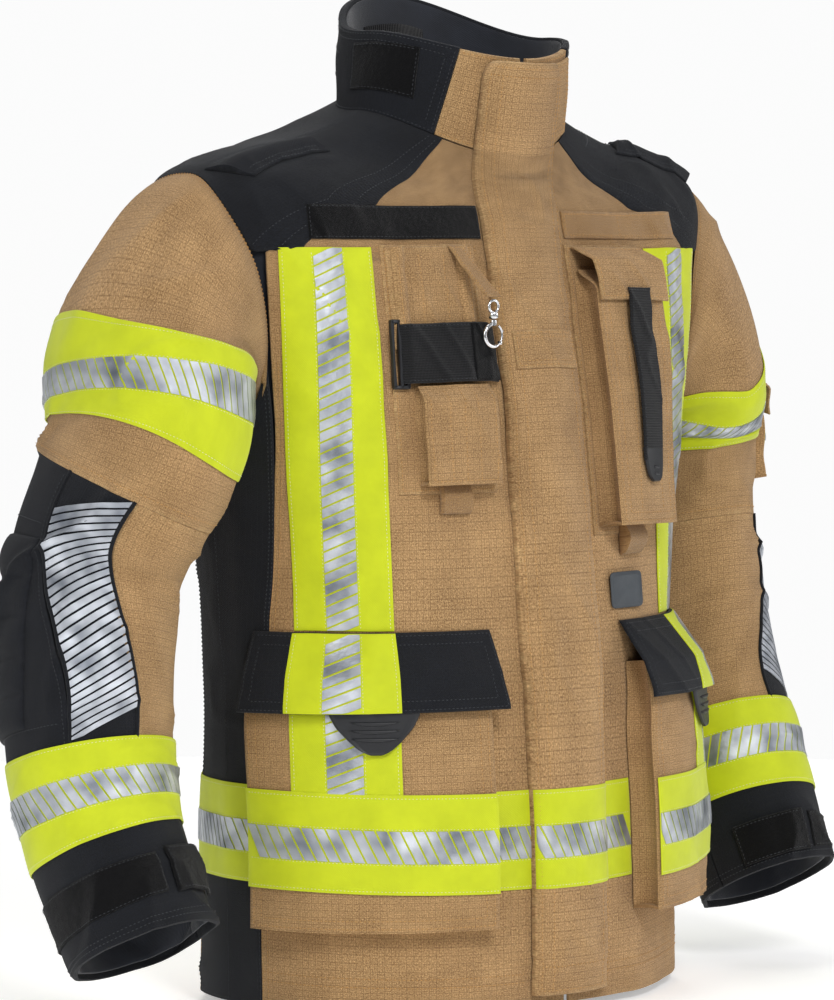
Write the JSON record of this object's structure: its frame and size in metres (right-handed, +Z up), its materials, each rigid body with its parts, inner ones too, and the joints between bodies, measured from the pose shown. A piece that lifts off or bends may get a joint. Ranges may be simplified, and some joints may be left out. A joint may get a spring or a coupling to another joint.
{
  "type": "firefighter's turnout coat",
  "caption": "Firefighter's turnout coat with stand collar, storm flap over a zip, flapped pockets, hi-vis trim, reinforced elbows and a snap hook strap.",
  "frame": {"origin": "middle of the neck opening at the collar seam, where the wearer holds the coat up", "axes": "+Z up along the body, -Y out of the coat's front, +X towards the wearer's left"},
  "size_m": [0.7786, 0.3146, 0.7743],
  "materials": {
    "tan_cloth": "matt ripstop weave",
    "black_cloth": "matt twill weave",
    "hi_vis_trim": "fluorescent tape with a silver stripe",
    "reflective_cloth": "silver retroreflective cloth with dark lines",
    "black_webbing": "ribbed webbing",
    "hook_tape": "hook-and-loop pile",
    "lining": "quilted lining",
    "rubber": "moulded matt",
    "bright_metal": "polished"
  },
  "bodies": {
    "coat": {"front_right": "tan_cloth", "side_right": "black_cloth", "front_left": "tan_cloth", "side_left": "black_cloth", "back_panel": "tan_cloth", "shoulder_yoke": "black_cloth", "thermal_liner": "lining", "collar_shell": "black_cloth", "collar_front_left": "tan_cloth", "collar_front_right": "tan_cloth", "hanger_loop": "black_webbing", "zip_track": "black_webbing", "hem_pocket_right": "tan_cloth", "chest_trim_right": "hi_vis_trim", "pocket_trim_right": "hi_vis_trim", "hem_pocket_left": "tan_cloth", "chest_trim_left": "hi_vis_trim", "pocket_trim_left": "hi_vis_trim", "trim_back": "hi_vis_trim", "tool_pocket": "tan_cloth", "tool_strap": "black_webbing", "strap_buckle": "rubber", "hook_strap": "tan_cloth", "radio_pocket": "tan_cloth", "badge": "rubber", "name_tape": "hook_tape", "collar_tape": "hook_tape", "tool_panel": "tan_cloth", "sleeve_head_right": "tan_cloth", "sleeve_head_left": "tan_cloth"},
    "storm_flap": {"storm_flap": "tan_cloth", "flap_keeper": "tan_cloth"},
    "zip_slider": {"zip_slider": "bright_metal"},
    "pocket_flap_right": {"pocket_flap_right": "black_cloth", "pull_tab_right": "rubber"},
    "pocket_flap_left": {"pocket_flap_left": "black_cloth", "pull_tab_left": "rubber"},
    "radio_flap": {"radio_flap": "tan_cloth", "radio_strap": "black_webbing"},
    "hook_swivel": {"hook_swivel": "bright_metal"},
    "snap_hook": {"snap_hook": "bright_metal"},
    "snap_gate": {"snap_gate": "bright_metal"},
    "cuff_strap_right": {"cuff_strap_right": "hook_tape"},
    "cuff_strap_left": {"cuff_strap_left": "hook_tape"},
    "arm_pocket_flap": {"arm_pocket_flap": "tan_cloth"},
    "sleeve_right": {"sleeve_right": "tan_cloth", "upper_band_right": "hi_vis_trim", "forearm_right": "tan_cloth", "reflective_panel_right": "reflective_cloth", "elbow_panel_right": "black_cloth", "lower_band_right": "hi_vis_trim", "cuff_right": "black_cloth"},
    "sleeve_left": {"sleeve_left": "tan_cloth", "upper_band_left": "hi_vis_trim", "forearm_left": "tan_cloth", "reflective_panel_left": "reflective_cloth", "elbow_panel_left": "black_cloth", "lower_band_left": "hi_vis_trim", "cuff_left": "black_cloth", "arm_pocket": "tan_cloth"}
  },
  "joints": [
    {"name": "storm_flap_open", "type": "hinge", "parent": "coat", "child": "storm_flap", "pos_m": [0.03805, -0.11183, -0.3069], "axis": [-0.0019, 0.0891, 0.996], "range_deg": [0, 94], "deforming": ["storm_flap"]},
    {"name": "zip_slide", "type": "hinge", "parent": "coat", "child": "zip_slider", "pos_m": [0, 2.6133, -0.652], "axis": [1, 0, 0], "range_deg": [0, 11.2]},
    {"name": "pocket_flap_right_lift", "type": "hinge", "parent": "coat", "child": "pocket_flap_right", "pos_m": [-0.15154, -0.08254, -0.38297], "axis": [-0.8096, 0.587, 0], "range_deg": [0, 110], "deforming": ["pocket_flap_right"]},
    {"name": "pocket_flap_left_lift", "type": "hinge", "parent": "coat", "child": "pocket_flap_left", "pos_m": [0.15154, -0.08254, -0.38297], "axis": [-0.8096, -0.587, 0], "range_deg": [0, 110], "deforming": ["pocket_flap_left"]},
    {"name": "radio_flap_lift", "type": "hinge", "parent": "coat", "child": "radio_flap", "pos_m": [0.09001, -0.07548, -0.0967], "axis": [-0.9971, -0.0761, 0], "range_deg": [0, 100]},
    {"name": "hook_swing", "type": "hinge", "parent": "coat", "child": "hook_swivel", "pos_m": [-0.06156, -0.11439, -0.13737], "axis": [0, -1, 0], "range_deg": [-40, 20]},
    {"name": "hook_turn", "type": "hinge", "parent": "hook_swivel", "child": "snap_hook", "pos_m": [-0.06156, -0.11439, -0.13737], "axis": [0, 0, 1], "continuous": true},
    {"name": "gate_press", "type": "hinge", "parent": "snap_hook", "child": "snap_gate", "pos_m": [-0.05514, -0.11439, -0.16855], "axis": [0, -1, 0], "range_deg": [0, 25], "stiffness_Nm_per_rad": 0.01, "springref_deg": -5.73},
    {"name": "sleeve_right_raise", "type": "hinge", "parent": "coat", "child": "sleeve_right", "pos_m": [-0.222, 0.03, -0.2], "axis": [0, 1, 0], "range_deg": [0, 40], "deforming": ["sleeve_head_right"]},
    {"name": "sleeve_left_raise", "type": "hinge", "parent": "coat", "child": "sleeve_left", "pos_m": [0.222, 0.03, -0.2], "axis": [0, -1, 0], "range_deg": [0, 40], "deforming": ["sleeve_head_left"]},
    {"name": "cuff_strap_right_peel", "type": "hinge", "parent": "sleeve_right", "child": "cuff_strap_right", "pos_m": [-0.34816, -0.08768, -0.54216], "axis": [0.0461, -0.4601, -0.8867], "range_deg": [0, 70]},
    {"name": "cuff_strap_left_peel", "type": "hinge", "parent": "sleeve_left", "child": "cuff_strap_left", "pos_m": [0.29408, -0.09915, -0.56392], "axis": [0.0016, 0.431, 0.9024], "range_deg": [0, 70]},
    {"name": "arm_pocket_flap_lift", "type": "hinge", "parent": "sleeve_left", "child": "arm_pocket_flap", "pos_m": [0.33725, 0.0501, -0.18213], "axis": [0.1152, -0.927, -0.3569], "range_deg": [0, 60]}
  ]
}
